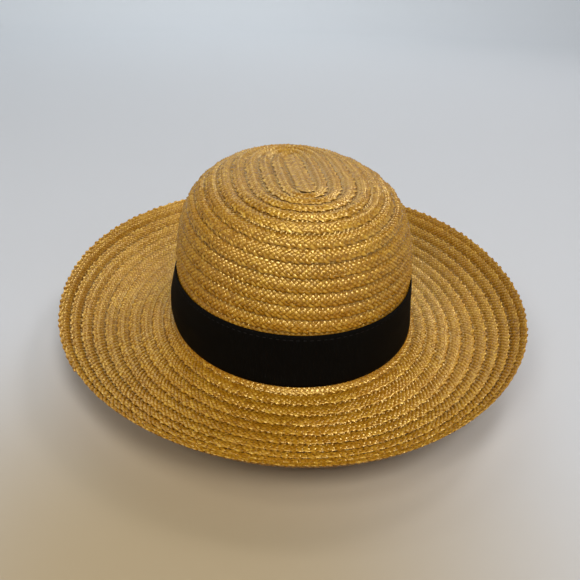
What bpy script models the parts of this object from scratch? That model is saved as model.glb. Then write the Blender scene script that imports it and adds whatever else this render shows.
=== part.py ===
"""Straw hat with a domed crown, an upturned brim and a ribbon band.

Units are metres, +Z is up and the wearer's front is -Y.  The hat rests on the low ring of
its brim, round the head opening, at Z = 0, and the origin is under the middle of the brim.
One flat braid is sewn in an overlapping spiral from the tip of the crown out to the rim, so
the outer faces of the crown and the brim step down at the lip of every row.
"""
import math
from collections import namedtuple

import bmesh
import bpy
import numpy as np

# Where the crown's axis stands, a little off the middle of the uneven brim
CROWN_AXIS = (0.0022, 0.0006, 0.0)

# Crown, measured on its outer face from the corner where it meets the brim
CROWN_HALF_LENGTH = 0.1015
CROWN_HALF_WIDTH = 0.0874
CROWN_HEIGHT = 0.112
CROWN_WALL_POWER = 4.38
CROWN_TOP_POWER = 3.84
CROWN_FLARE = 0.0036
FLARE_HEIGHT = 0.045

# The straight first stretch of braid on the tip, and how square the rows round it are
TIP_HALF_LENGTH = 0.037
TIP_HALF_WIDTH = 0.0044
TIP_SQUARENESS = 2.0
TIP_SQUARENESS_FADE = 4

# Brim: it dips to the ring that it rests on, then curls up to the rim
START_DIP = math.radians(8.0)
REST_REACH = 0.019
REST_RING_WIDTH = 0.006
CURL_POWER = 1.23
CORNER_RADIUS = 0.004

# The rim by bearing, in degrees from the front towards +X: its reach along the straw from
# the corner, and the slope to which the brim has curled up there
RimPoint = namedtuple("RimPoint", "bearing reach slope")
RIM = (
    RimPoint(0.0, 0.0982, 48.5),
    RimPoint(45.0, 0.0926, 62.5),
    RimPoint(90.0, 0.0887, 71.5),
    RimPoint(135.0, 0.0935, 62.5),
    RimPoint(180.0, 0.0978, 52.0),
    RimPoint(225.0, 0.0934, 55.5),
    RimPoint(270.0, 0.0886, 58.0),
    RimPoint(315.0, 0.0926, 50.0),
)

# Sewn straw: its wall under the middle of the rows, and the rows' relief
WALL = 0.0022
ROW_FOOT = -0.0004
ROW_RISE = 0.0009

# Spiral of the braid: where its rows start, and their exposed width as a share of the straw
# from the tip strip to the corner, or from the corner to the rim
CROWN_ROWS_BEARING = -87.0
CROWN_ROW_SHARE = 0.0592
BRIM_ROWS_BEARING = 26.0
BRIM_FIRST_SHARE = 0.045
BRAID_END_BEARING = 309.0
BRIM_TURNS = 9 + (BRAID_END_BEARING - BRIM_ROWS_BEARING) / 360.0
BRIM_ROW_SHARE = (1.0 - BRIM_FIRST_SHARE) / BRIM_TURNS

# Ribbon band: heights over the corner, and how far it bulges off the straw on its left side
BandRow = namedtuple("BandRow", "height left_bulge")
BAND = (
    BandRow(0.0411, 0.0000),
    BandRow(0.0310, 0.0016),
    BandRow(0.0210, 0.0032),
    BandRow(0.0110, 0.0028),
    BandRow(0.0030, 0.0010),
)
BAND_GAP = 0.0004
BAND_THICKNESS = 0.0008
BULGE_BEARING = 268.0
BULGE_SPREAD = 34.0

# The crown and the brim part under the band, where the rows have faded out
SPLIT_HEIGHT = 0.012
PART_GAP = 0.0003
ROWS_END_HEIGHT = 0.0425
ROWS_FADE = 0.005
PLAIN_CROWN_HEIGHTS = (0.028, SPLIT_HEIGHT + PART_GAP)

# Meshing: columns round the hat, plain rings on the inner faces, samples along a line
COLUMNS = 60
INNER_CROWN_RINGS = 12
INNER_BRIM_SHARES = (0.32, 0.42, 0.52, 0.62, 0.71, 0.80, 0.90, 1.0)
CORNER_STEPS = 3
SAMPLES = 160
MERGE_DISTANCE = 0.000002
SMOOTH_ANGLE = math.radians(40.0)

# The corner of crown and brim stands this high over the surface under the hat
CORNER_HEIGHT = 0.5 * START_DIP * REST_REACH + WALL

# Finishes: linear base colour, roughness
Finish = namedtuple("Finish", "color roughness")
STRAW = Finish((0.47, 0.26, 0.06), 0.38)
RIBBON = Finish((0.006, 0.006, 0.005), 0.85)


def rim_value(bearing, column):
    """A column of RIM at any bearing, on a smooth closed curve through its rows."""
    step = 360.0 / len(RIM)
    index = math.floor(bearing / step)
    part = bearing / step - index
    before, here, after, beyond = (
        getattr(RIM[(index + shift) % len(RIM)], column) for shift in (-1, 0, 1, 2)
    )
    square, cube = part ** 2, part ** 3
    return (
        here * (2 * cube - 3 * square + 1)
        + 0.5 * (after - before) * (cube - 2 * square + part)
        + after * (3 * square - 2 * cube)
        + 0.5 * (beyond - here) * (cube - square)
    )


def signed_power(value, power):
    """A power that keeps the sign, to square off an oval."""
    return math.copysign(abs(value) ** power, value)


def oval(bearing, size):
    """Plan point on the crown's oval, of size 1 at the base and 0 on the tip's middle line."""
    angle = math.radians(bearing)
    power = 2.0 / (2.0 + TIP_SQUARENESS * (1.0 - size) ** TIP_SQUARENESS_FADE)
    half_length = TIP_HALF_LENGTH + (CROWN_HALF_LENGTH - TIP_HALF_LENGTH) * size
    half_width = CROWN_HALF_WIDTH * size
    return np.array((
        half_width * signed_power(math.sin(angle), power),
        -half_length * signed_power(math.cos(angle), power),
    ))


def outward(bearing):
    """Plan direction square to the crown's oval at its base."""
    angle = math.radians(bearing)
    direction = np.array((
        math.sin(angle) / CROWN_HALF_WIDTH,
        -math.cos(angle) / CROWN_HALF_LENGTH,
    ))
    return direction / np.linalg.norm(direction)


def over_base(bearing, offset, height):
    """Point at an offset out from the crown's base oval and a height over the corner."""
    across, along = oval(bearing, 1.0) + offset * outward(bearing)
    return np.array((across, along, CORNER_HEIGHT + height))


def flare(height):
    """How far the crown's wall has widened towards the brim at a height over the corner."""
    return CROWN_FLARE * max(0.0, 1.0 - height / FLARE_HEIGHT)


def crown_line(bearing):
    """The crown's outer face along one bearing, from the tip strip's edge to the corner."""
    edge = TIP_HALF_WIDTH / CROWN_HALF_WIDTH
    points = []
    for sample in range(SAMPLES + 1):
        angle = 0.5 * math.pi * (sample / SAMPLES) ** (0.5 * CROWN_WALL_POWER)
        size = edge + (1.0 - edge) * math.sin(angle) ** (2.0 / CROWN_WALL_POWER)
        size = min(size, 1.0)
        height = CROWN_HEIGHT * (1.0 - size ** CROWN_WALL_POWER) ** (1.0 / CROWN_TOP_POWER)
        across, along = oval(bearing, size) + flare(height) * outward(bearing)
        points.append((across, along, CORNER_HEIGHT + height))
    return points


def brim_line(bearing):
    """The brim's upper face along one bearing, from the corner out to the rim."""
    reach = rim_value(bearing, "reach")
    rim_slope = math.radians(rim_value(bearing, "slope"))
    step = reach / SAMPLES
    offset, height = CROWN_FLARE, 0.0
    points = []
    for sample in range(SAMPLES + 1):
        points.append(over_base(bearing, offset, height))
        run = (sample + 0.5) * step
        if run < REST_REACH:
            slope = -START_DIP * (1.0 - run / REST_REACH)
        else:
            slope = rim_slope * ((run - REST_REACH) / (reach - REST_REACH)) ** CURL_POWER
        offset += step * math.cos(slope)
        height += step * math.sin(slope)
    return points


def corner_arc(bearing, radius):
    """Rounded turn from the crown's wall to the brim, about the centre of the inside turn."""
    centre_offset = flare(CORNER_RADIUS) + CORNER_RADIUS
    centre_height = (
        CORNER_RADIUS / math.cos(START_DIP)
        - math.tan(START_DIP) * (centre_offset - CROWN_FLARE)
    )
    points = []
    for step in range(CORNER_STEPS + 1):
        angle = math.pi + (0.5 * math.pi - START_DIP) * step / CORNER_STEPS
        points.append(over_base(
            bearing,
            centre_offset + radius * math.cos(angle),
            centre_height + radius * math.sin(angle),
        ))
    return points


class Face:
    """A face of the straw, held as one line for each column from its inner to its outer edge."""

    def __init__(self, line, bearings):
        self.points = np.array([line(bearing) for bearing in bearings])
        along = np.gradient(self.points, axis=1)
        across = np.roll(self.points, -1, axis=0) - np.roll(self.points, 1, axis=0)
        normals = np.cross(along, across)
        self.normals = normals / np.linalg.norm(normals, axis=2, keepdims=True)
        steps = np.linalg.norm(np.diff(self.points, axis=1), axis=2)
        self.runs = np.insert(np.cumsum(steps, axis=1), 0, 0.0, axis=1)

    def share_at_run(self, column, run):
        """Share of a column's line at a length along it."""
        return run / self.runs[column, -1]

    def share_at_height(self, column, height):
        """Share at which a falling line has come down to a height over the corner."""
        fallen = -self.points[column, :, 2]
        run = np.interp(-height - CORNER_HEIGHT, fallen, self.runs[column])
        return self.share_at_run(column, run)

    def place(self, column, share, lift=0.0):
        """Point at a share of a column's line, raised square to the face."""
        run = share * self.runs[column, -1]
        point, normal = (
            np.array([np.interp(run, self.runs[column], field[column, :, axis]) for axis in range(3)])
            for field in (self.points, self.normals)
        )
        return point + lift * normal


def bearings_from(start):
    """Bearings of the columns, the first one where a spiral starts."""
    return [start + 360.0 * column / COLUMNS for column in range(COLUMNS)]


def add_ring(mesh, point_at):
    """One closed ring of vertices, from a function of the column."""
    return [mesh.verts.new(point_at(column)) for column in range(COLUMNS)]


def join_rings(mesh, rings):
    """Faces between each ring and the next, which face out on the outer side of the straw."""
    for inner, outer in zip(rings, rings[1:]):
        for column in range(COLUMNS):
            after = (column + 1) % COLUMNS
            mesh.faces.new((inner[column], outer[column], outer[after], inner[after]))


def add_rows(mesh, place, first_share, last_shares, row_share):
    """The rows of the braid in a spiral between two closed rings, each lying on the next.

    The first row grows from nothing and the last one dies away, as the ends of a braid do.
    Returns the first and the last ring.
    """
    turns = math.ceil((1.0 - first_share) / row_share) + 1
    count = turns * COLUMNS
    feet, lips = [], []
    for index in range(count + COLUMNS + 1):
        column = index % COLUMNS
        last = last_shares[column]
        reached = first_share + row_share * index / COLUMNS
        lip = min(reached, last)
        foot = min(max(reached - row_share, first_share), last)
        rise = ROW_RISE * (lip - foot) / row_share
        feet.append(mesh.verts.new(place(column, foot, ROW_FOOT)))
        lips.append(mesh.verts.new(place(column, lip, ROW_FOOT + rise)))
    for index in range(count):
        below = index + COLUMNS
        mesh.faces.new((feet[index], lips[index], lips[index + 1], feet[index + 1]))
        mesh.faces.new((lips[index], feet[below], feet[below + 1], lips[index + 1]))
    return feet[:COLUMNS], feet[count:count + COLUMNS]


def close_tip(mesh, ring, facing_up):
    """Faces across the narrow ring at the tip, between columns that mirror each other."""
    mirrored = round(-2.0 * CROWN_ROWS_BEARING * COLUMNS / 360.0)
    front = (mirrored + 1) // 2
    for column in range(front, front + COLUMNS // 2 - 1):
        corners = [ring[place % COLUMNS] for place in (
            column, column + 1, mirrored - column - 1, mirrored - column,
        )]
        mesh.faces.new(corners if facing_up else corners[::-1])


def make_material(name, finish):
    """Plain Principled BSDF in one colour."""
    material = bpy.data.materials.new(name)
    material.use_nodes = True
    shader = material.node_tree.nodes["Principled BSDF"]
    shader.inputs["Base Color"].default_value = (*finish.color, 1.0)
    shader.inputs["Roughness"].default_value = finish.roughness
    shader.inputs["Metallic"].default_value = 0.0
    return material


def make_object(name, mesh, material, collection):
    """Turn the bmesh into a smooth-shaded object of the collection."""
    bmesh.ops.remove_doubles(mesh, verts=mesh.verts, dist=MERGE_DISTANCE)
    bmesh.ops.dissolve_degenerate(mesh, edges=mesh.edges, dist=MERGE_DISTANCE)
    data = bpy.data.meshes.new(name)
    mesh.to_mesh(data)
    mesh.free()
    data.shade_smooth()
    data.set_sharp_from_angle(angle=SMOOTH_ANGLE)
    data.materials.append(material)
    created = bpy.data.objects.new(name, data)
    created.location = CROWN_AXIS
    collection.objects.link(created)
    return created


def build_crown(material, collection):
    """The dome from the tip strip down to where the brim takes over, open at the bottom."""
    face = Face(crown_line, bearings_from(CROWN_ROWS_BEARING))
    columns = range(COLUMNS)

    def place(column, share, lift):
        point = face.place(column, share)
        over_end = point[2] - CORNER_HEIGHT - ROWS_END_HEIGHT
        return face.place(column, share, lift * min(max(over_end / ROWS_FADE, 0.0), 1.0))

    def at_height(column, height, lift=0.0):
        point = face.place(column, face.share_at_height(column, height), lift)
        point[2] = CORNER_HEIGHT + height
        return point

    mesh = bmesh.new()
    ends = [face.share_at_height(column, ROWS_END_HEIGHT) for column in columns]
    first, last = add_rows(mesh, place, 0.0, ends, CROWN_ROW_SHARE)
    strip = add_ring(mesh, lambda column: face.place(column, 0.0, ROW_FOOT + ROW_RISE))
    rings = [last]
    for height in PLAIN_CROWN_HEIGHTS:
        rings.append(add_ring(mesh, lambda column: at_height(column, height)))
    bottom = PLAIN_CROWN_HEIGHTS[-1]
    bottoms = [face.share_at_height(column, bottom) for column in columns]
    rings.append(add_ring(mesh, lambda column: at_height(column, bottom, -WALL)))
    for ring in reversed(range(INNER_CROWN_RINGS)):
        part = ring / INNER_CROWN_RINGS
        rings.append(add_ring(mesh, lambda column: face.place(column, part * bottoms[column], -WALL)))
    join_rings(mesh, [strip, first])
    join_rings(mesh, rings)
    close_tip(mesh, strip, True)
    close_tip(mesh, rings[-1], False)
    return make_object("crown", mesh, material, collection)


def build_brim(material, collection):
    """The collar under the band, the turn, the low ring that the hat rests on and the curl."""
    bearings = bearings_from(BRIM_ROWS_BEARING)
    face = Face(brim_line, bearings)
    inner_arcs = [corner_arc(bearing, CORNER_RADIUS + WALL) for bearing in bearings]
    outer_arcs = [corner_arc(bearing, CORNER_RADIUS) for bearing in bearings]
    rest_runs = (REST_REACH - 0.5 * REST_RING_WIDTH, REST_REACH + 0.5 * REST_RING_WIDTH)

    def collar(column, depth):
        return over_base(bearings[column], flare(SPLIT_HEIGHT) - depth, SPLIT_HEIGHT)

    def rest(column, run):
        point = face.place(column, face.share_at_run(column, run))
        point[2] = 0.0
        return point

    mesh = bmesh.new()
    rows = add_rows(mesh, face.place, BRIM_FIRST_SHARE, [1.0] * COLUMNS, BRIM_ROW_SHARE)
    inner = [add_ring(mesh, lambda column: face.place(column, share, -WALL))
             for share in reversed(INNER_BRIM_SHARES)]
    inner += [add_ring(mesh, lambda column: rest(column, run)) for run in reversed(rest_runs)]
    inner += [add_ring(mesh, lambda column: inner_arcs[column][step])
              for step in reversed(range(CORNER_STEPS + 1))]
    top = [add_ring(mesh, lambda column: collar(column, depth)) for depth in (WALL, 0.0)]
    outer = [add_ring(mesh, lambda column: outer_arcs[column][step])
             for step in range(CORNER_STEPS + 1)]
    join_rings(mesh, [rows[1]] + inner + top + outer + [rows[0]])
    return make_object("brim", mesh, material, collection)


def build_band(material, collection):
    """The ribbon round the foot of the crown, an open strip given its thickness outwards."""
    bearings = bearings_from(0.0)

    def bulge(bearing):
        return math.exp(-((bearing - BULGE_BEARING) / BULGE_SPREAD) ** 2)

    def place(column, row):
        bearing = bearings[column]
        offset = flare(row.height) + BAND_GAP + row.left_bulge * bulge(bearing)
        return over_base(bearing, offset, row.height)

    mesh = bmesh.new()
    join_rings(mesh, [add_ring(mesh, lambda column: place(column, row)) for row in BAND])
    band = make_object("hat_band", mesh, material, collection)
    solidify = band.modifiers.new("Ribbon thickness", "SOLIDIFY")
    solidify.thickness = BAND_THICKNESS
    solidify.offset = 1.0
    solidify.use_even_offset = True
    return band


def main():
    """Build the hat in a collection of its own."""
    for old in list(bpy.data.objects):
        bpy.data.objects.remove(old, do_unlink=True)
    collection = bpy.data.collections.new("straw_hat")
    bpy.context.scene.collection.children.link(collection)
    straw = make_material("golden_straw", STRAW)
    ribbon = make_material("black_grosgrain", RIBBON)
    build_crown(straw, collection)
    build_brim(straw, collection)
    build_band(ribbon, collection)


main()
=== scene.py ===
"""Looks of the straw hat: plaited straw sewn in a spiral, a ribbed ribbon and a soft studio.

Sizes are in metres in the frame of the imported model: +Z is up, the wearer's front is -Y and
the hat stands on Z = 0.  Bearings are in degrees round the crown's axis, from the front
towards +X.  A station is a place along the straw at one bearing: 0 at the edge of the tip
strip, 1 at the corner of crown and brim, and 2 at the rim.
"""
import logging
import math
from collections.abc import Callable
from dataclasses import dataclass, field, fields
from enum import Enum

import bpy
import numpy as np
from bpy.types import Material, Object
from mathutils import Matrix, Vector


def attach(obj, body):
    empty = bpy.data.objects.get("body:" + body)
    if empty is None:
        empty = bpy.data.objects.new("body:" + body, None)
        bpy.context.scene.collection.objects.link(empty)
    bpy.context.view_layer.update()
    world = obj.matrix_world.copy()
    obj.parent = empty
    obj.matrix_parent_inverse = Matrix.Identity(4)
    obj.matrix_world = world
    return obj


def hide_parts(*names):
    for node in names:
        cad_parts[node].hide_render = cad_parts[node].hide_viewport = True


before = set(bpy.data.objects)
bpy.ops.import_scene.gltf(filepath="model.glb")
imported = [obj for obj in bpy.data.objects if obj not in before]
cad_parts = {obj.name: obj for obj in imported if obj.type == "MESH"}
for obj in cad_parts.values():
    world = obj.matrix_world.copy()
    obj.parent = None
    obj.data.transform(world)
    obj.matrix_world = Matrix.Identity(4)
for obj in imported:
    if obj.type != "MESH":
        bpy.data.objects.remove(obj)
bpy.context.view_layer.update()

BODY = "root"
STRAW_SLOT = "golden_straw"
RIBBON_SLOT = "black_grosgrain"
LOG = logging.getLogger("straw_hat")

Array = np.ndarray
Triple = tuple[float, float, float]
Value = "Socket | float"


def stacked(*parts: Array | float) -> Array:
    """Parts of one point or more, side by side along a new last axis."""
    return np.stack(np.broadcast_arrays(*parts), axis=-1)


def add_object(name: str, data: bpy.types.ID) -> Object:
    """Put a new object into the scene.

    Args:
        name: Its name.
        data: Its mesh, light or camera.

    Returns:
        The object.
    """
    made = bpy.data.objects.new(name, data)
    bpy.context.scene.collection.objects.link(made)
    return made


# ---- shader tools


def operator(operation: str, turned: bool = False) -> Callable[["Socket", Value], "Socket"]:
    """Make an operator of Socket.

    Args:
        operation: Operation of the Math node that it adds.
        turned: Put the other value first.

    Returns:
        The operator.
    """
    def apply(self: "Socket", other: Value) -> "Socket":
        """Add the Math node on both values."""
        return self.tree.math(operation, *((other, self) if turned else (self, other)))

    return apply


class Socket:
    """An output socket whose operators add Math nodes to its tree."""

    __add__, __radd__ = operator("ADD"), operator("ADD", True)
    __sub__, __rsub__ = operator("SUBTRACT"), operator("SUBTRACT", True)
    __mul__, __rmul__ = operator("MULTIPLY"), operator("MULTIPLY", True)
    __truediv__, __rtruediv__ = operator("DIVIDE"), operator("DIVIDE", True)
    __pow__, __rpow__ = operator("POWER"), operator("POWER", True)

    def __init__(self, tree: "Nodes", link: bpy.types.NodeSocket) -> None:
        """Keep the tree and the output socket."""
        self.tree, self.link = tree, link


class Nodes:
    """The node tree of one new material."""

    def __init__(self, name: str) -> None:
        """Make the material and find its shader.

        Args:
            name: Name of the new material.
        """
        self.material = bpy.data.materials.new(name)
        self.material.use_nodes = True
        self.tree = self.material.node_tree
        self.shader = self.tree.nodes["Principled BSDF"]

    def set(self, socket: bpy.types.NodeSocket, value: object) -> None:
        """Link a socket to another one, or give it a value of its own.

        Args:
            socket: Input socket.
            value: A Socket, or a number, a vector or a colour without its alpha.
        """
        if isinstance(value, Socket):
            self.tree.links.new(value.link, socket)
        else:
            socket.default_value = (*value, 1.0) if socket.type == "RGBA" else value

    def add(self, kind: str, settings: dict | None = None, output: int | str = 0,
            **inputs: object) -> Socket:
        """Add any node.

        Args:
            kind: Blender's node type.
            settings: Node properties, set before the sockets; "stops" fills a colour ramp.
            output: Index or name of the output that is returned.
            inputs: Values or links by socket name, with _ for a space, or s0, s1 by place.

        Returns:
            The wanted output.
        """
        node = self.tree.nodes.new(kind)
        for name, value in (settings or {}).items():
            if name == "stops":
                ramp = node.color_ramp
                for index, (place, color) in enumerate(value):
                    stop = ramp.elements[index] if index < 2 else ramp.elements.new(place)
                    stop.position = place
                    stop.color = (*color, 1.0)
            else:
                setattr(node, name, value)
        for name, value in inputs.items():
            by_place = name[0] == "s" and name[1:].isdigit()
            key = int(name[1:]) if by_place else name.replace("_", " ")
            self.set(node.inputs[key], value)
        return Socket(self, node.outputs[output])

    def math(self, operation: str, *values: Value, clamp: bool = False) -> Socket:
        """Add a Math node.

        Args:
            operation: Its operation.
            values: One to three values or links.
            clamp: Keep the result between 0 and 1.

        Returns:
            The result.
        """
        sockets = {f"s{index}": value for index, value in enumerate(values)}
        return self.add("ShaderNodeMath", {"operation": operation, "use_clamp": clamp}, **sockets)

    def blend(self, share: Value, first: object, second: object) -> Socket:
        """Mix two colours by a share."""
        return self.add("ShaderNodeMix", {"data_type": "RGBA"}, output=2, s0=share, s6=first,
                        s7=second)

    def noise(self, vector: Socket, scale: float, detail: float = 2.0) -> Socket:
        """Noise around 0.5 over a vector."""
        return self.add("ShaderNodeTexNoise", Vector=vector, Scale=scale, Detail=detail)

    def stretch(self, vector: Socket, by: Triple) -> Socket:
        """A vector with each of its parts multiplied."""
        return self.add("ShaderNodeVectorMath", {"operation": "MULTIPLY"}, s0=vector, s1=by)

    def bump(self, height: Socket, distance: float) -> Socket:
        """Normal from a height, where a height of 1 is so many metres."""
        return self.add("ShaderNodeBump", Height=height, Distance=distance, Strength=1.0)

    def finish(self, **inputs: object) -> Material:
        """Set the shader's sockets.

        Args:
            inputs: Values or links by socket name, with _ for a space.

        Returns:
            The finished material.
        """
        for name, value in inputs.items():
            self.set(self.shader.inputs[name.replace("_", " ")], value)
        return self.material


# ---- finishes


@dataclass(frozen=True)
class StrawFinish:
    """Lacquered golden straw, split lengthwise into soft lobes, with painted shade in its creases
    and under each row's lip and painted light on the crests of its cells.
    """

    shadow: Triple = (0.230, 0.082, 0.002)
    body: Triple = (0.430, 0.190, 0.006)
    pale: Triple = (0.660, 0.365, 0.034)
    russet: Triple = (0.480, 0.190, 0.012)
    # Painted shade: the dark colour blended in under each row's lip and along the tip strip's edge.
    painted_crevice_shade: Triple = (0.110, 0.036, 0.002)
    gloss_tint: Triple = (1.0, 0.77, 0.30)
    stops: Triple = (0.05, 0.5, 0.98)
    roughness: float = 0.22
    roughness_spread: float = 0.24
    specular: float = 0.9
    refraction: float = 2.0
    lobe_depth: float = 0.00012
    lobe_power: float = 0.55
    fibre_stretch: Triple = (7.0, 0.8, 1.0)
    fibre_depth: float = 0.00006
    fleck_stretch: Triple = (2.0, 2.0, 1.0)
    fleck_scale: float = 1.3
    stains_per_metre: float = 24.0
    tone_share: float = 0.7
    fibre_share: float = 0.35
    fleck_share: float = 0.45
    # Painted shade: share of the lobes' shape in the colour, darker in the crease between them.
    painted_lobe_shade: float = 0.24
    darker: float = 0.38
    russet_from: float = 0.47
    russet_gain: float = 3.0
    russet_share: float = 0.45
    # Painted shade: how much of the dark shade colour is blended in, broadly and sharply.
    painted_shade_wide: float = 0.36
    painted_shade_sharp: float = 0.4

    def material(self, name: str) -> Material:
        """Build the material.

        Args:
            name: Name of the material.

        Returns:
            A material that reads the straw's own map, tone and painted shade.
        """
        nodes = Nodes(name)
        straw = nodes.add("ShaderNodeUVMap", {"uv_map": "straw"})
        across = nodes.add("ShaderNodeSeparateXYZ", Vector=straw)
        tone = nodes.add("ShaderNodeAttribute", {"attribute_name": "tone"}, output="Fac")
        place = nodes.add("ShaderNodeTexCoord", output="Object")
        painted_shade = nodes.add("ShaderNodeAttribute", {"attribute_name": "painted_shade"}, output="Fac")
        lobe = 0.5 - 0.5 * nodes.math("COSINE", across * (2.0 * math.pi))
        round_lobe = lobe ** self.lobe_power
        fibres = nodes.noise(nodes.stretch(straw, self.fibre_stretch), 1.0, 3.0)
        flecks = nodes.noise(nodes.stretch(straw, self.fleck_stretch), self.fleck_scale)
        stains = nodes.noise(place, self.stains_per_metre, 3.0)
        # Painted light and shade: the tone attribute is raised on the cells' crests and lowered
        # between crossings and at folds, and the lobes darken the colour in their crease.
        shade = (tone * self.tone_share + fibres * self.fibre_share + flecks * self.fleck_share
                 + round_lobe * self.painted_lobe_shade - self.darker)
        stops = list(zip(self.stops, (self.shadow, self.body, self.pale)))
        color = nodes.add("ShaderNodeValToRGB", {"stops": stops}, Fac=shade)
        russet = nodes.math("MULTIPLY", stains - self.russet_from, self.russet_gain, clamp=True)
        color = nodes.blend(russet * self.russet_share, color, self.russet)
        # Painted shade: the dark shade colour is blended in where the painted shade attribute is
        # high.
        crease = painted_shade * self.painted_shade_wide + painted_shade ** 4.0 * self.painted_shade_sharp
        color = nodes.blend(crease, color, self.painted_crevice_shade)
        rough = nodes.math("ADD", (flecks - 0.5) * self.roughness_spread, self.roughness,
                           clamp=True)
        height = round_lobe + fibres * (self.fibre_depth / self.lobe_depth)
        return nodes.finish(Base_Color=color, Roughness=rough,
                            Normal=nodes.bump(height, self.lobe_depth),
                            Specular_Tint=self.gloss_tint,
                            Specular_IOR_Level=self.specular, IOR=self.refraction)


@dataclass(frozen=True)
class RibbonFinish:
    """Matt black ribbon with fine ribs across it and a row of small stitches near its top."""

    body: Triple = (0.0010, 0.0008, 0.0005)
    worn: Triple = (0.0036, 0.0032, 0.0024)
    thread: Triple = (0.020, 0.019, 0.018)
    rib: float = 0.0010
    rib_depth: float = 0.00010
    stitch: float = 0.0043
    stitch_share: float = 0.47
    stitch_height: float = 0.0379
    stitch_width: float = 0.00022
    stitch_rise: float = 2.0
    wear_stretch: Triple = (45.0, 160.0, 1.0)
    roughness: float = 0.75
    roughness_spread: float = 0.2
    specular: float = 0.08

    def material(self, name: str) -> Material:
        """Build the material.

        Args:
            name: Name of the material.

        Returns:
            A material that reads the ribbon's own map, in metres.
        """
        nodes = Nodes(name)
        cloth = nodes.add("ShaderNodeUVMap", {"uv_map": "ribbon"})
        along = nodes.add("ShaderNodeSeparateXYZ", Vector=cloth)
        high = nodes.add("ShaderNodeSeparateXYZ", output=1, Vector=cloth)
        ribs = 0.5 + 0.5 * nodes.math("SINE", along * (2.0 * math.pi / self.rib))
        wear = nodes.noise(nodes.stretch(cloth, self.wear_stretch), 1.0, 4.0)
        dash = nodes.math("LESS_THAN", nodes.math("FRACT", along / self.stitch), self.stitch_share)
        line = nodes.math("LESS_THAN", nodes.math("ABSOLUTE", high - self.stitch_height),
                          self.stitch_width)
        stitches = dash * line
        color = nodes.blend(wear, self.body, self.worn)
        color = nodes.blend(stitches, color, self.thread)
        height = ribs * (1.0 - line) + stitches * self.stitch_rise
        rough = self.roughness + wear * self.roughness_spread
        return nodes.finish(Base_Color=color, Roughness=rough, Specular_IOR_Level=self.specular,
                            Normal=nodes.bump(height, self.rib_depth))


@dataclass(frozen=True)
class PaperFinish:
    """Plain paper for the floor and the wall round it, with a tan patch of painted bounce light and
    shadow in front of the hat.
    """

    pale: Triple = (0.60, 0.615, 0.64)
    # Painted bounce light and shadow: the colour of the patch in front of the hat.
    painted_bounce_and_shadow: Triple = (0.41, 0.325, 0.20)
    centre: Triple = (-0.09, -0.24, 0.0)
    spread: float = 0.30
    ragged: float = 0.08
    roughness: float = 0.7
    specular: float = 0.2

    def material(self, name: str) -> Material:
        """Build the material.

        Args:
            name: Name of the material.

        Returns:
            A material with a tan patch of painted bounce light and shadow near one spot of the
            floor.
        """
        nodes = Nodes(name)
        place = nodes.add("ShaderNodeNewGeometry")
        far = nodes.add("ShaderNodeVectorMath", {"operation": "DISTANCE"}, output="Value",
                        s0=place, s1=self.centre)
        share = nodes.add("ShaderNodeMapRange", {"interpolation_type": "SMOOTHERSTEP"},
                          Value=1.0 - far / self.spread
                          + nodes.noise(place, 6.0, 3.0) * self.ragged)
        # Painted bounce light and shadow blended into the pale paper.
        color = nodes.blend(share, self.pale, self.painted_bounce_and_shadow)
        return nodes.finish(Base_Color=color, Roughness=self.roughness,
                            Specular_IOR_Level=self.specular)


# ---- the hat's plain form


class RimColumn(Enum):
    """The columns of the table of the rim."""

    REACH = 1
    SLOPE = 2


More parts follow.
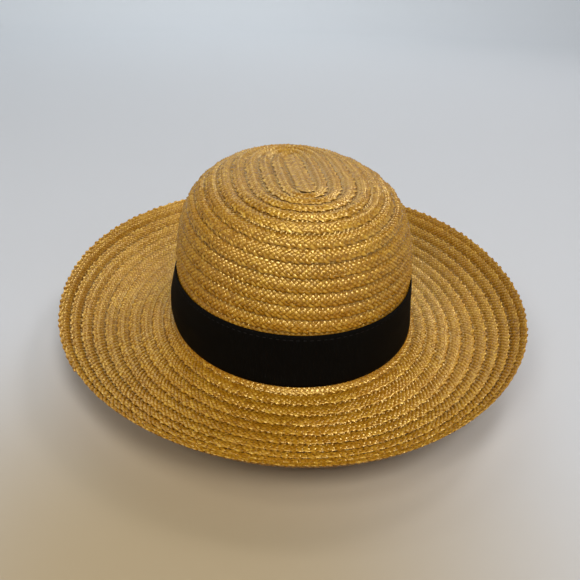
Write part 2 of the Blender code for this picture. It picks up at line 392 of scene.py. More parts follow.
@dataclass(frozen=True)
class HatForm:
    """Sizes of the plain outer face of the straw, the same as the solids' own."""

    axis: tuple[float, float] = (0.0022, 0.0006)
    half_length: float = 0.1015
    half_width: float = 0.0874
    height: float = 0.112
    wall_power: float = 4.38
    top_power: float = 3.84
    flare: float = 0.0036
    flare_height: float = 0.045
    tip_half_length: float = 0.037
    tip_half_width: float = 0.0044
    tip_squareness: float = 2.0
    tip_fade: int = 4
    tip_steps: int = 8
    start_dip: float = math.radians(8.0)
    rest_reach: float = 0.019
    curl_power: float = 1.23
    wall: float = 0.0022
    corner_cut: float = 0.0042
    rim: tuple[Triple, ...] = (
        (0.0, 0.0982, 48.5), (45.0, 0.0926, 62.5), (90.0, 0.0887, 71.5), (135.0, 0.0935, 62.5),
        (180.0, 0.0978, 52.0), (225.0, 0.0934, 55.5), (270.0, 0.0886, 58.0), (315.0, 0.0926, 50.0),
    )

    @property
    def corner_height(self) -> float:
        """Height of the corner of crown and brim over the floor."""
        return 0.5 * self.start_dip * self.rest_reach + self.wall

    def rim_value(self, bearings: Array, column: RimColumn) -> Array:
        """A column of the rim's table at any bearings, on a smooth closed curve.

        Args:
            bearings: Bearings in degrees.
            column: Which column to read.

        Returns:
            The values, as many as the bearings.
        """
        table = np.array([row[column.value] for row in self.rim])
        step = 360.0 / len(table)
        index = np.floor(bearings / step).astype(int)
        part = bearings / step - index
        before, here, after, beyond = (table[(index + shift) % len(table)]
                                       for shift in (-1, 0, 1, 2))
        square, cube = part ** 2, part ** 3
        return (here * (2 * cube - 3 * square + 1)
                + 0.5 * (after - before) * (cube - 2 * square + part)
                + after * (3 * square - 2 * cube)
                + 0.5 * (beyond - here) * (cube - square))

    def oval(self, bearings: Array, size: Array | float) -> Array:
        """Plan points on one of the crown's ovals.

        Args:
            bearings: Bearings in degrees.
            size: Size of the oval, 1 at the base and 0 on the tip's line.

        Returns:
            The points, from the crown's axis.
        """
        angle = np.radians(bearings)
        power = 2.0 / (2.0 + self.tip_squareness * (1.0 - size) ** self.tip_fade)
        long = self.tip_half_length + (self.half_length - self.tip_half_length) * size
        sine, cosine = np.sin(angle), np.cos(angle)
        return stacked(self.half_width * size * np.sign(sine) * np.abs(sine) ** power,
                       -long * np.sign(cosine) * np.abs(cosine) ** power)

    def outward(self, bearings: Array) -> Array:
        """Plan directions square to the crown's oval at its base.

        Args:
            bearings: Bearings in degrees.

        Returns:
            The directions, of length 1.
        """
        angle = np.radians(bearings)
        way = stacked(np.sin(angle) / self.half_width, -np.cos(angle) / self.half_length)
        return way / np.linalg.norm(way, axis=-1, keepdims=True)

    def flare_at(self, height: Array | float) -> Array:
        """How far the crown's wall has widened at heights over the corner."""
        return self.flare * np.maximum(0.0, 1.0 - np.asarray(height) / self.flare_height)

    def raised(self, plan: Array, heights: Array) -> Array:
        """Points over a plan round the crown's axis, at heights over the corner."""
        return stacked(plan[..., 0] + self.axis[0], plan[..., 1] + self.axis[1],
                       self.corner_height + heights)

    def wall_points(self, bearings: Array, offsets: Array, heights: Array) -> Array:
        """Points at offsets out from the crown's base oval and heights over the corner."""
        plan = self.oval(bearings, 1.0) + offsets[..., None] * self.outward(bearings)
        return self.raised(plan, heights)

    def crown_lines(self, bearings: Array, samples: int = 400) -> Array:
        """The crown's face from the tip's middle line to the corner.

        Args:
            bearings: Bearings in degrees.
            samples: Number of points past the tip strip's edge.

        Returns:
            A line of points for each bearing.
        """
        edge = self.tip_half_width / self.half_width
        angle = 0.5 * math.pi * np.linspace(0.0, 1.0, samples) ** (0.5 * self.wall_power)
        sizes = edge + (1.0 - edge) * np.sin(angle) ** (2.0 / self.wall_power)
        inside = np.linspace(0.0, edge, self.tip_steps + 1)[:-1]
        sizes = np.concatenate([inside, np.minimum(sizes, 1.0)])
        heights = self.height * (1.0 - sizes ** self.wall_power) ** (1.0 / self.top_power)
        column = bearings[:, None]
        flare = self.flare_at(heights)[:, None] * self.outward(column)
        return self.raised(self.oval(column, sizes) + flare, heights)

    def brim_lines(self, bearings: Array, share: float, samples: int = 310) -> Array:
        """The brim's face from the corner to a share of the way to the rim.

        Args:
            bearings: Bearings in degrees.
            share: Where to stop, 1 at the rim and more beyond it.
            samples: Number of steps.

        Returns:
            A line of points for each bearing.
        """
        column = bearings[:, None]
        reach = self.rim_value(column, RimColumn.REACH)
        rim_slope = np.radians(self.rim_value(column, RimColumn.SLOPE))
        run = share * reach * (np.arange(samples) + 0.5) / samples
        curl = np.maximum(run - self.rest_reach, 0.0) / (reach - self.rest_reach)
        dip = np.maximum(1.0 - run / self.rest_reach, 0.0)
        slope = rim_slope * curl ** self.curl_power - self.start_dip * dip
        step = share * reach / samples
        zero = np.zeros(column.shape)
        offset = self.flare + np.concatenate([zero, np.cumsum(step * np.cos(slope), 1)], axis=1)
        height = np.concatenate([zero, np.cumsum(step * np.sin(slope), 1)], axis=1)
        return self.wall_points(column, offset, height)


class StrawSheet:
    """The hat's outer face from the tip's middle line to the rim, to place straw on."""

    first_station = -0.03
    last_station = 2.03
    flat_station = 0.06
    span = 3
    tiny = 1e-12

    def __init__(self, form: HatForm, columns: int = 720, crown: int = 340,
                 brim: int = 220) -> None:
        """Sample the form on a grid of bearings and stations.

        Args:
            form: The hat's sizes.
            columns: Number of bearings.
            crown: Number of stations on the crown.
            brim: Number of stations on the brim.
        """
        self.form = form
        self.columns = columns
        bearings = np.arange(columns) * 360.0 / columns
        self.stations = np.concatenate([np.linspace(self.first_station, 1.0, crown),
                                        np.linspace(1.0, self.last_station, brim)[1:]])
        crown_lines = form.crown_lines(bearings)
        brim_lines = form.brim_lines(bearings, self.last_station - 1.0)
        self.crown_length = np.zeros(columns)
        self.brim_length = form.rim_value(bearings, RimColumn.REACH)
        self.tables = (self.crown_length, self.brim_length)
        self.points = np.zeros((columns, len(self.stations), 3))
        for index in range(columns):
            runs = self.runs(crown_lines[index])
            runs -= runs[form.tip_steps]
            self.crown_length[index] = runs[-1]
            place = self.stations[:crown] * runs[-1]
            out = self.runs(brim_lines[index])
            far = (self.stations[crown:] - 1.0) * self.brim_length[index]
            for part in range(3):
                self.points[index, :, part] = np.concatenate([
                    np.interp(place, runs, crown_lines[index, :, part]),
                    np.interp(far, out, brim_lines[index, :, part])])
        self._round_corner()
        self.normals = self._find_normals()

    @staticmethod
    def runs(line: Array) -> Array:
        """Length along a line at each of its points."""
        steps = np.linalg.norm(np.diff(line, axis=0), axis=1)
        return np.concatenate([[0.0], np.cumsum(steps)])

    def _round_corner(self) -> None:
        """Turn the sharp corner of crown and brim into a small curve."""
        for index in range(self.columns):
            line = self.points[index].copy()
            before = 1.0 - self.form.corner_cut / self.crown_length[index]
            after = 1.0 + self.form.corner_cut / self.brim_length[index]
            ends = [np.array([np.interp(place, self.stations, line[:, part]) for part in range(3)])
                    for place in (before, 1.0, after)]
            inside = (self.stations > before) & (self.stations < after)
            share = np.interp(self.stations[inside], [before, 1.0, after], [0.0, 0.5, 1.0])[:, None]
            self.points[index, inside] = (ends[0] * (1 - share) ** 2
                                          + ends[1] * 2 * share * (1 - share)
                                          + ends[2] * share ** 2)

    def _find_normals(self) -> Array:
        """Find the directions square to the sheet.

        Returns:
            The directions out of the straw's outer face, straight up on the tip.
        """
        along = np.gradient(self.points, axis=1)
        around = np.roll(self.points, -self.span, 0) - np.roll(self.points, self.span, 0)
        normals = np.cross(along, around)
        size = np.linalg.norm(normals, axis=2, keepdims=True)
        normals = normals / np.maximum(size, self.tiny)
        flat = (self.stations < self.flat_station)[:, None] | (size < self.tiny)
        return np.where(flat, np.array([0.0, 0.0, 1.0]), normals)

    def _between(self, bearings: Array) -> tuple[Array, Array, Array]:
        """Find the columns on both sides of some bearings.

        Args:
            bearings: Bearings in degrees.

        Returns:
            The columns to the left and to the right, and the share of the right one.
        """
        place = np.mod(bearings, 360.0) * self.columns / 360.0
        left = np.floor(place).astype(int) % self.columns
        return left, (left + 1) % self.columns, place - np.floor(place)

    def lengths(self, bearings: Array) -> tuple[Array, Array]:
        """Length of the straw on the crown and on the brim at some bearings."""
        left, right, share = self._between(bearings)
        return tuple(table[left] * (1 - share) + table[right] * share for table in self.tables)

    def run(self, bearings: Array, stations: Array) -> Array:
        """Length along the straw from the tip strip's edge at some stations."""
        crown, brim = self.lengths(bearings)
        return np.where(stations < 1.0, stations * crown, crown + (stations - 1.0) * brim)

    def station(self, bearings: Array, runs: Array) -> Array:
        """Stations at lengths along the straw from the tip strip's edge."""
        crown, brim = self.lengths(bearings)
        return np.where(runs < crown, runs / crown, 1.0 + (runs - crown) / brim)

    def place(self, bearings: Array, stations: Array, lifts: Array) -> Array:
        """Points at bearings and stations, lifted square to the sheet.

        Args:
            bearings: Bearings in degrees.
            stations: Stations, kept within the sheet.
            lifts: Heights over the outer face.

        Returns:
            The points.
        """
        left, right, share = self._between(bearings)
        share = share[..., None]
        down = np.interp(stations, self.stations, np.arange(len(self.stations)))
        low = np.minimum(np.floor(down).astype(int), len(self.stations) - 2)
        part = (down - low)[..., None]

        def read(grid: Array) -> Array:
            """Value of a grid between its four nearest samples."""
            return ((grid[left, low] * (1 - share) + grid[right, low] * share) * (1 - part)
                    + (grid[left, low + 1] * (1 - share) + grid[right, low + 1] * share) * part)

        return read(self.points) + lifts[..., None] * read(self.normals)


# ---- plaited straw


@dataclass
class Strand:
    """One straw of a plait, as a row of values for each station along it."""

    along: Array
    across: Array
    height: Array
    side: Array
    skew: Array
    tone: Array
    width: Array
    shift: Array
    reach: Array
    roll: Array

    def part(self, chosen: Array) -> "Strand":
        """The strand at some of its stations, as columns."""
        return Strand(*(getattr(self, item.name)[chosen][:, None] for item in fields(self)))


@dataclass(frozen=True)
class Swept:
    """Points of a strand in the flat plait, before it is sewn."""

    along: Array
    across: Array
    height: Array
    maps: Array
    tone_and_shades: Array
    upper: Array
    turned: Array


@dataclass(frozen=True)
class Plait:
    """A flat plait of seven flattened straws, each over one and under one.

    The chances are the ranges of each straw's tone, width, shift along, reach and roll.
    """

    ends: int = 7
    fold: float = 0.0037
    width: float = 0.0112
    straw_share: float = 0.98
    edge: float = 0.00035
    swell: float = 0.00060
    # Painted light and shade: the tone is raised on each cell's crest and lowered between
    # crossings.
    painted_pillow_light_and_shade: float = 0.4
    under: float = 0.5
    spread: float = 0.50
    scallop: float = 0.10
    teeth: float = 0.085
    # Painted shade: the tone is lowered where the straw folds at the plait's edges, past fold_from
    # across.
    painted_fold_shade: float = -0.10
    tone_spread: float = 0.30
    fold_from: float = 0.9
    fold_power: int = 6
    turn: float = 0.14
    turn_height: float = 0.9
    flat: float = 0.52
    hidden: float = -0.2
    chances: tuple[tuple[float, float], ...] = (
        (0.15, 0.85), (0.92, 1.04), (-0.06, 0.06), (-0.03, 0.03), (-0.20, 0.20))

    def cycle(self) -> Array:
        """One straw's way from edge to edge and back.

        Returns:
            Rows of place along the plait in folds, place across from -1 at the lip to 1, height
            from -1 under to 1 over, side that the straw heads for, and how far the section
            turns from along the plait to square on the straw.
        """
        steps = [(0.0, 0.0, 0.0), (1.0, -1.0, 1.0)]
        for crossing in range(2, self.ends):
            steps += [(crossing - 0.5, 0.0, 1.0), (crossing, (-1.0) ** crossing, 1.0)]
        steps.append((self.ends - self.turn, self.turn_height, self.turn))
        return np.array([(leg * 0.5 * self.ends + 0.5 * step, side * (2.0 * step / self.ends - 1.0),
                          height, side, skew)
                         for leg, side in ((0, 1.0), (1, -1.0)) for step, height, skew in steps])

    def section(self) -> Array:
        """Outline of a straw's outer side, as rows of place across from -1 to 1 and swell."""
        return np.array([(-1.0, 0.0), (-self.flat, 1.0), (self.flat, 1.0), (1.0, 0.0)])

    def strands(self, length: float, rng: np.random.Generator) -> list[Strand]:
        """Each straw of a length of plait, with its small irregularities.

        Args:
            length: Length of the plait.
            rng: Source of chance.

        Returns:
            The strands.
        """
        cycle = self.cycle()
        count = int(length / (self.ends * self.fold)) + 3
        found = []
        for end in range(self.ends):
            cycles = np.arange(-1, count)
            along = (cycle[:, 0] + self.ends * cycles[:, None] + end).ravel()
            legs = np.arange(-2, 2 * count + 4)
            chance = [np.interp(along, 0.5 * self.ends * legs + end,
                                rng.uniform(low, high, len(legs)))
                      for low, high in self.chances]
            across, height, side, skew = (np.tile(cycle[:, column], len(cycles))
                                          for column in range(1, 5))
            height = height * rng.uniform(1.0 - self.spread, 1.0 + self.spread, len(along))
            height = np.where(height < 0.0, self.under * height, height)
            # Random differences in colour, plus painted shade at the folds and painted light and
            # shade on the cells' crests and dips.
            chance[0] += rng.uniform(-self.tone_spread, self.tone_spread, len(along)) \
                + self.painted_fold_shade * (np.abs(across) > self.fold_from) \
                + self.painted_pillow_light_and_shade * (np.abs(height) - 0.5)
            chance[3] += self.teeth * (across < 0) * (1 if end % 2 else -1)
            found.append(Strand(along * self.fold, across, height, side, skew, *chance))
        return found

    def sweep(self, strand: Strand, slot: float) -> Swept:
        """Sweep the straw's section along some stations.

        Args:
            strand: The stations, as columns.
            slot: Offset in the map, so that no two straws look the same.

        Returns:
            The points, a row for each station.
        """
        q, lift = self.section().T
        wide = self.straw_share * strand.width * q
        bulge = 1.0 + np.abs(strand.across) ** self.fold_power \
            * (strand.reach - self.scallop * q ** 2)
        along = strand.along + self.fold * (strand.shift + wide * (0.5 - 0.25 * strand.skew))
        across = 0.5 * self.width * (strand.across * bulge
                                     - strand.side * strand.skew * wide / self.ends)
        height = strand.height * (self.edge + self.swell * lift) + self.swell * wide * strand.roll
        maps = stacked(0.5 * q + 0.5 + slot, strand.along / self.fold)
        tone_and_shades, upper = (np.broadcast_to(values, along.shape)
                        for values in (strand.tone, strand.height > self.hidden))
        return Swept(along, across, height, maps, tone_and_shades, upper, strand.side[:-1] > 0.0)


class StrawSet:
    """Joined mesh of swept straws or of ribbon, with a map, a tone and a share of painted shade."""

    def __init__(self, name: str, node: str, slot: str) -> None:
        """Start an empty set.

        Args:
            name: Name of the piece.
            node: The solid that it stands for.
            slot: Slot of its material; not used.
        """
        self.name, self.node, self.slot = name, node, slot
        self.parts: list[tuple[Array, ...]] = []
        self.faces: list[Array] = []
        self.count = 0

    def add(self, points: Array, maps: Array, tone_and_shades: Array, painted_shades: Array,
            turned: Array | bool = False, ring: bool = False) -> None:
        """Add one straw, or a ring of ribbon.

        Args:
            points: Points, in rows along the straw.
            maps: Place across and along for each point.
            tone_and_shades: Tone of each point, with painted light and shade in it.
            painted_shades: Share of shade painted at each point, 0 to 1, darkest under the next
                row's lip.
            turned: Rows whose faces run the other way round, so that all face outwards.
            ring: Join the last row to the first, and each row's ends.
        """
        rows, sides = points.shape[:2]
        index = np.arange(rows * sides).reshape(rows, sides) + self.count
        if ring:
            index = np.pad(index, ((0, 1), (0, 1)), mode="wrap")
        faces = np.stack([index[:-1, :-1], index[1:, :-1], index[1:, 1:], index[:-1, 1:]], axis=-1)
        turned = np.broadcast_to(np.reshape(turned, (-1, 1, 1)), faces.shape)
        self.faces.append(np.where(turned, faces[..., ::-1], faces).reshape(-1, 4))
        self.parts.append((points.reshape(-1, 3), maps.reshape(-1, 2), tone_and_shades.reshape(-1),
                           painted_shades.reshape(-1)))
        self.count += rows * sides

    def build(self, material: Material, map_name: str) -> Object:
        """Make the object and give it to its solid.

        Args:
            material: The piece's material.
            map_name: Name of the map that the material reads.

        Returns:
            The new object, smooth shaded.
        """
        points, maps, tone_and_shades, painted_shades = (np.concatenate(part) for part in zip(*self.parts))
        faces = np.concatenate(self.faces)
        mesh = bpy.data.meshes.new(self.name)
        mesh.vertices.add(len(points))
        mesh.vertices.foreach_set("co", points.astype(np.float32).ravel())
        mesh.loops.add(faces.size)
        mesh.loops.foreach_set("vertex_index", faces.astype(np.int32).ravel())
        mesh.polygons.add(len(faces))
        mesh.polygons.foreach_set("loop_start", np.arange(0, faces.size, 4, dtype=np.int32))
        layer = mesh.uv_layers.new(name=map_name)
        layer.data.foreach_set("uv", maps[faces.ravel()].astype(np.float32).ravel())
        # Mesh attributes: the tone, with painted light and shade in it, and the share of painted
        # shade.
        for label, values in (("tone", tone_and_shades), ("painted_shade", painted_shades)):
            attribute = mesh.attributes.new(label, "FLOAT", "POINT")
            attribute.data.foreach_set("value", values.astype(np.float32))
        mesh.update(calc_edges=True)
        mesh.validate()
        mesh.shade_smooth()
        mesh.materials.append(material)
        built = add_object(self.name, mesh)
        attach(built, BODY)
        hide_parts(self.node)
        LOG.info("%s: %d triangles", self.name, 2 * len(faces))
        return built


@dataclass(frozen=True)
class Rib:
    """How a row of plait arches over its width and lies on the next row."""

    arch: float = 0.0012
    layer: float = 0.0007
    middle: float = -0.0004
    # Widths over which shade is painted in, darker towards the next row's lip, the second added on
    # the tip.
    shade: float = 0.0024
    tip_shade: float = 0.0030

    def height(self, inward: Array, row: Array, steep: Array, full: Array) -> Array:
        """Height of the plait's middle over the hat's face.

        Args:
            inward: Places in from the plait's lip.
            row: Shown width of the row.
            steep: How steep the ridge is, 1 for a plain wave.
            full: Share of the full arch.

        Returns:
            The heights.
        """
        share = inward / row
        ridge = (0.5 - 0.5 * np.cos(2 * math.pi * share)) ** steep
        return self.middle + self.arch * full * steep * ridge - self.layer * share


@dataclass
class SewnStraw:
    """The crown and the brim: one plait sewn in a spiral from the tip to the rim."""

    sheet: StrawSheet
    plait: Plait = field(default_factory=Plait)
    rib: Rib = field(default_factory=Rib)
    seed: int = 7
    turns_from: float = 0.44
    turns_to: float = 27.846
    crown_first: float = 0.0143
    crown_row: float = 0.0592
    brim_first: float = 0.038
    brim_row: float = 0.0977
    brim_turn: float = 17.0
    rim_station: float = 2.009
    wander: float = 0.0030
    wander_step: float = 0.09
    wander_turns: tuple[float, float] = (0.5, 26.5)
    knots: tuple[float, ...] = (-1.0, 16.4, 16.9, 40.0)
    tip_turns: float = 8.0
    press_turns: tuple[float, ...] = (0.0, 3.0, 8.0, 16.0, 17.5, 28.0)
    press: tuple[float, ...] = (0.3, 0.4, 1.0, 1.0, 0.7, 0.6)
    full: tuple[float, ...] = (1.0, 1.0, 1.0, 1.0, 0.85, 0.8)
    band_height: float = 0.0411
    band_squeeze: float = 0.35
    brim_clear: float = 0.001
    squeeze_fade: float = 0.005
    pieces: tuple[tuple[str, str, float], ...] = (
        ("crown_straw_top", "crown", 7.6), ("crown_straw_side", "crown", 12.4),
        ("crown_straw_foot", "crown", 16.63), ("brim_straw_inner", "brim", 20.6),
        ("brim_straw_middle", "brim", 24.3), ("brim_straw_outer", "brim", 28.0))

    def __post_init__(self) -> None:
        """Draw the small wanderings of the rows."""
        rng = np.random.default_rng(self.seed)
        self.bends = np.arange(-1.0, 30.0, self.wander_step)
        self.offsets = self.wander * rng.uniform(-1.0, 1.0, len(self.bends))

    def lip_station(self, turns: Array) -> Array:
        """Station of the plait's lip.

        Args:
            turns: Turns of the spiral from the front.

        Returns:
            The stations, with the rows' small wanderings.
        """
        knots = np.array(self.knots)
        values = np.where(knots < self.brim_turn - 0.5, self.crown_first + self.crown_row * knots,
                          1.0 + self.brim_first + self.brim_row * (knots - self.brim_turn))
        first, last = self.wander_turns
        fade = np.clip(last - turns, 0.0, 1.0) * np.clip(turns - first, 0.0, 1.0)
        wander = np.interp(turns, self.bends, self.offsets) * fade
        return np.minimum(np.interp(turns, knots, values) + wander, self.rim_station)

    def row_width(self, bearings: Array, stations: Array) -> Array:
        """Shown width of a row at some bearings and stations."""
        crown, brim = self.sheet.lengths(bearings)
        return np.where(stations < 1.0, self.crown_row * crown, self.brim_row * brim)

    def squeeze(self, bearings: Array, stations: Array) -> Array:
        """How far the ribbon presses the plait flat.

        Args:
            bearings: Bearings in degrees.
            stations: Stations of the places.

        Returns:
            Shares of the plait's height, 1 where it is free.
        """
        crown, brim = self.sheet.lengths(bearings)
        above = (1.0 - stations) * crown - self.band_height
        below = (stations - 1.0) * brim - self.brim_clear
        free = np.clip(np.where(stations < 1.0, above, below) / self.squeeze_fade, 0.0, 1.0)
        return self.band_squeeze + (1.0 - self.band_squeeze) * free

    def wind(self, steps: int = 360) -> tuple[Array, Array]:
        """Wind the spiral.

        Args:
            steps: Number of steps in a turn.

        Returns:
            Turns of the spiral, and the length of the plait's lip up to each.
        """
        turns = np.arange(self.turns_from, self.turns_to + 0.5 / steps, 1.0 / steps)
        line = self.sheet.place(360.0 * turns, self.lip_station(turns), np.zeros(len(turns)))
        return turns, StrawSheet.runs(line)

    def place(self, swept: Swept, turns: Array, lengths: Array) -> tuple[Array, Array]:
        """Lay swept points on the hat.

        Args:
            swept: Points in the flat plait.
            turns: Turns of the spiral.
            lengths: Length of the plait up to each of the turns.

        Returns:
            The points in the hat's frame, and the share of shade painted at each, darkest just
            under the next lip.
        """
        turn = np.interp(swept.along, lengths, turns)
        bearing = 360.0 * turn
        lip = self.lip_station(turn)
        inward = swept.across + 0.5 * self.plait.width
        station = self.sheet.station(bearing, self.sheet.run(bearing, lip) - inward)
        row = self.row_width(bearing, station)
        brim = self.sheet.lengths(bearing)[1]
        shown = (self.rim_station - self.lip_station(turn - 1.0)) * brim
        at_rim = lip >= self.rim_station
        tuck = at_rim * self.rib.layer * np.clip(1.0 - shown / row, 0.0, 1.0)
        tip = np.clip(1.0 - turn / self.tip_turns, 0.0, 1.0)
        press = np.interp(turn, self.press_turns, self.press)
        full = np.interp(turn, self.press_turns, self.full)
        level = self.rib.height(inward, row, 1.0 + tip, full) - tuck + press * swept.height
        points = self.sheet.place(bearing, station, level * self.squeeze(bearing, station))
        # Painted shade: darker towards the next row's lip, where its shadow falls, over a wider
        # band on the tip.
        shade = self.rib.shade + self.rib.tip_shade * tip
        painted_shade = swept.upper * np.clip(1.0 - (row - inward) / shade, 0.0, 1.0)
        return points, painted_shade

    def build(self, material: Material) -> None:
        """Build every piece of sewn straw.

        Args:
            material: The straw's material.
        """
        turns, lengths = self.wind()
        strands = self.plait.strands(lengths[-1], np.random.default_rng(self.seed))
        start = self.turns_from
        for name, node, stop in self.pieces:
            tubes = StrawSet(name, node, STRAW_SLOT)
            low, high = (float(np.interp(turn, turns, lengths)) for turn in (start, stop))
            for index, strand in enumerate(strands):
                chosen = np.flatnonzero((strand.along >= low) & (strand.along <= high))
                if stop < self.turns_to:
                    chosen = np.append(chosen, chosen[-1] + 1)
                swept = self.plait.sweep(strand.part(chosen), 3.0 * index)
                points, painted_shades = self.place(swept, turns, lengths)
                tubes.add(points, swept.maps, swept.tone_and_shades, painted_shades, swept.turned)
            tubes.build(material, "straw")
            start = stop


@dataclass
class TipStrip:
    """The straight beginning of the plait, which lies on top of the crown's tip."""

    form: HatForm
    plait: Plait = field(default_factory=lambda: Plait(width=0.01375))
    rib: Rib = field(default_factory=Rib)
    seed: int = 11
    left: float = -0.0044
    near: float = -0.041
    far: float = 0.043
    round_end: float = 0.010
    blunt: float = 0.98
    press: float = 0.3
    steep: float = 1.8
    # Strength of the shade painted along the strip's left edge.
    crease: float = 0.8

    def place(self, swept: Swept) -> tuple[Array, Array]:
        """Lay swept points on the tip.

        Args:
            swept: Points in the flat plait, with the lip on the right.

        Returns:
            The points in the hat's frame, and the share of shade painted at each, darkest at the
            strip's left edge.
        """
        along = self.near + swept.along
        past = np.maximum(self.near - along, along - self.far) / self.round_end + 1.0
        narrow = np.sqrt(1.0 - np.clip(past, 0.0, self.blunt) ** 2)
        half, across = 0.5 * self.plait.width, swept.across * narrow
        arch = self.rib.height(half + across, self.plait.width, self.steep, 1.0) * narrow ** 2
        plan = stacked(self.left + half - across, along)
        points = self.form.raised(plan, self.form.height + arch
                                  + self.press * narrow * swept.height)
        # Painted shade along the strip's left edge, fading over the rib's shade width.
        near = np.clip(1.0 - (half - across) / self.rib.shade, 0.0, 1.0)
        return points, self.crease * swept.upper * near

    def build(self, material: Material) -> None:
        """Build the strip.

        Args:
            material: The straw's material.
        """
        length = self.far - self.near
        tubes = StrawSet("tip_strip", "crown", STRAW_SLOT)
        strands = self.plait.strands(length, np.random.default_rng(self.seed))
        for index, strand in enumerate(strands):
            chosen = np.flatnonzero((strand.along >= 0.0) & (strand.along <= length))
            swept = self.plait.sweep(strand.part(chosen), 20.0 + 3.0 * index)
            points, painted_shades = self.place(swept)
            tubes.add(points, swept.maps, swept.tone_and_shades, painted_shades, swept.turned)
        tubes.build(material, "straw")


# ---- ribbon


@dataclass
class HatRibbon:
    """The black ribbon round the foot of the crown."""

    form: HatForm
    finish: RibbonFinish = field(default_factory=RibbonFinish)
    heights: tuple[float, ...] = (0.0411, 0.0310, 0.0210, 0.0110, 0.0030)
    left_bulge: tuple[float, ...] = (0.0, 0.0016, 0.0032, 0.0028, 0.0010)
    gap: float = 0.0004
    thickness: float = 0.0008
    bulge_bearing: float = 268.0
    bulge_spread: float = 34.0
    crease: float = 0.0007
    crease_bearing: float = 377.0
    crease_height: float = 0.0255
    crease_degrees: float = 0.8
    crease_length: float = 0.007
    edge_wave: float = 0.00018
    edge_waves: tuple[int, int] = (2, 9)
    ripple: float = 0.00010
    ripples: tuple[int, int] = (7, 3)
    roll: float = 0.35
    start: float = 180.0
    columns: int = 600
    rows: int = 16
    seed: int = 3

    def build(self) -> None:
        """Build the ribbon."""
        rng = np.random.default_rng(self.seed)
        bearing = (self.start + np.arange(self.columns) * 360.0 / self.columns)[:, None]
        top, bottom = self.heights[0], self.heights[-1]
        share = np.linspace(0.0, 1.0, self.rows)
        height = top + (bottom - top) * share
        bulge = np.interp(-height, -np.array(self.heights), self.left_bulge)
        waves = sum(rng.uniform(-1, 1) / (k + 1)
                    * np.sin(np.radians(k * bearing) + rng.uniform(0, 6.28))
                    for k in range(*self.edge_waves))
        edge = self.edge_wave * waves * (1 - 2 * share)
        ripple = self.ripple * (1 + np.sin(np.radians(self.ripples[0] * bearing))
                                * np.sin(math.pi * self.ripples[1] * share))
        spread = np.exp(-((bearing - self.bulge_bearing) / self.bulge_spread) ** 2)
        crease = np.exp(-((bearing - self.crease_bearing) / self.crease_degrees) ** 2) \
            * np.exp(-((height - self.crease_height) / self.crease_length) ** 2)
        tall = height + edge
        offset = self.form.flare_at(tall) + self.gap + bulge * spread + ripple \
            + self.crease * crease
        inner = self.form.wall_points(bearing, offset, tall)
        rim = self.roll * self.thickness * np.isin(np.arange(self.rows), (0, self.rows - 1))
        outer = self.form.wall_points(bearing, offset + self.thickness - rim, tall)
        loop = np.concatenate([outer, inner[:, ::-1]], axis=1)
        length = np.linalg.norm(np.roll(outer[:, 0], -1, 0) - outer[:, 0], axis=1)
        along = np.concatenate([[0.0], np.cumsum(length)[:-1]])
        wide = np.concatenate([height, height[::-1]])
        maps = stacked(along[:, None], wide)
        tubes = StrawSet("ribbon_band", "hat_band", RIBBON_SLOT)
        plain = np.zeros(loop.shape[:2])
        tubes.add(loop, maps, plain, plain, ring=True)
        band = tubes.build(self.finish.material("black_ribbon"), "ribbon")


# ---- studio


@dataclass(frozen=True)
class SoftBox:
    """A soft square studio light, turned towards the hat or the wall."""

    name: str
    place: Triple
    power: float
    color: Triple
    aim: Triple = (0.0, 0.0, 0.05)
    size: float = 1.0

    def build(self) -> None:
        """Build the light."""
        data = bpy.data.lights.new(self.name, "AREA")
        data.size, data.energy, data.color = self.size, self.power, self.color
        lamp = add_object(self.name, data)
        lamp.location = self.place
        way = Vector(self.aim) - Vector(self.place)
        lamp.rotation_euler = way.to_track_quat("-Z", "Y").to_euler()


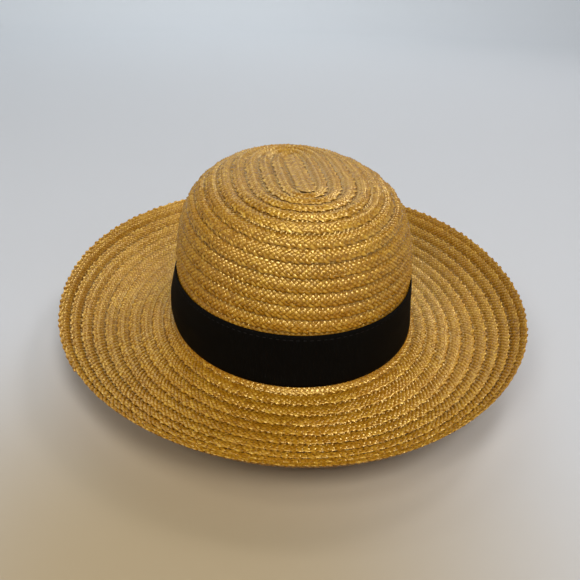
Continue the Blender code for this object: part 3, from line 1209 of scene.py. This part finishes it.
@dataclass
class Studio:
    """The pale floor and wall, the lights and the camera."""

    camera_place: Triple = (-0.0650, -0.4009, 0.2520)
    heading: float = 9.292
    pitch: float = -29.824
    roll: float = 1.509
    lens: float = 36.814
    sensor: float = 36.0
    clip: float = 0.01
    floor_sides: int = 96
    disc_reach: float = 0.6
    floor_reach: float = 1.8
    curve: float = 0.8
    wall_height: float = 3.0
    world: Triple = (0.80, 0.84, 0.90)
    world_strength: float = 0.03
    boxes: tuple[SoftBox, ...] = (
        SoftBox("over", (-0.05, -0.4, 2.0), 5.5, (1.0, 0.97, 0.95), size=0.6),
        SoftBox("front", (0.25, -1.1, 1.5), 15.0, (1.0, 0.965, 0.92), size=0.65),
        SoftBox("front_low", (0.3, -1.6, 0.6), 1.2, (1.0, 0.95, 0.88), size=0.8),
        SoftBox("front_left", (-0.9, -0.9, 1.2), 7.5, (1.0, 0.96, 0.9), size=0.5),
        SoftBox("back_right", (1.1, 0.9, 1.5), 7.5, (1.0, 0.97, 0.97), size=0.45),
        SoftBox("back_left", (-1.1, 1.0, 1.3), 0.8, (0.98, 0.97, 1.0), size=0.6),
        SoftBox("right_low", (1.7, -0.4, 0.5), 2.0, (1.0, 0.98, 0.97), size=0.6),
        SoftBox("wall", (0.0, 1.7, 2.0), 26.0, (0.9, 0.97, 1.0), (0.0, 2.7, 0.7), 1.2),
    )

    def floor(self) -> None:
        """Build the round floor, which curves up into a wall all round."""
        angles = np.linspace(0.0, 0.5 * math.pi, 17)
        reach = np.concatenate([[self.disc_reach], self.floor_reach + self.curve * np.sin(angles),
                                [self.floor_reach + self.curve]])
        rise = np.concatenate([[0.0], self.curve * (1.0 - np.cos(angles)), [self.wall_height]])
        bearing = np.arange(self.floor_sides) * 2 * math.pi / self.floor_sides
        points = stacked(reach[:, None] * np.sin(bearing), -reach[:, None] * np.cos(bearing),
                         rise[:, None])
        index = np.arange(rise.size * self.floor_sides).reshape(-1, self.floor_sides)
        after = np.roll(index, -1, axis=1)
        faces = np.stack([index[:-1], index[1:], after[1:], after[:-1]], axis=-1).reshape(-1, 4)
        mesh = bpy.data.meshes.new("floor")
        mesh.from_pydata(points.reshape(-1, 3).tolist(), [],
                         [index[0].tolist()] + faces.tolist())
        mesh.shade_smooth()
        mesh.materials.append(PaperFinish().material("pale_paper"))
        floor = add_object("floor", mesh)

    def camera(self) -> None:
        """Build the camera at the photograph's angle."""
        data = bpy.data.cameras.new("camera")
        data.lens = self.lens
        data.sensor_width = self.sensor
        data.clip_start = self.clip
        camera = add_object("camera", data)
        turn = (Matrix.Rotation(-math.radians(self.heading), 4, "Z")
                @ Matrix.Rotation(math.radians(90.0 + self.pitch), 4, "X")
                @ Matrix.Rotation(math.radians(self.roll), 4, "Z"))
        camera.matrix_world = Matrix.Translation(self.camera_place) @ turn
        bpy.context.scene.camera = camera

    def build(self) -> None:
        """Build the floor, the lights, the world and the camera."""
        self.floor()
        for box in self.boxes:
            box.build()
        world = bpy.data.worlds.new("studio")
        world.use_nodes = True
        background = world.node_tree.nodes["Background"]
        background.inputs["Color"].default_value = (*self.world, 1.0)
        background.inputs["Strength"].default_value = self.world_strength
        bpy.context.scene.world = world
        self.camera()
        bpy.context.scene.view_settings.view_transform = "Standard"


def main() -> None:
    """Build the hat's looks and the studio."""
    logging.basicConfig(level=logging.INFO, format="%(message)s")
    form = HatForm()
    sheet = StrawSheet(form)
    straw = StrawFinish().material("lacquered_straw")
    SewnStraw(sheet).build(straw)
    TipStrip(form).build(straw)
    HatRibbon(form).build()
    Studio().build()


if __name__ == "__main__":
    main()
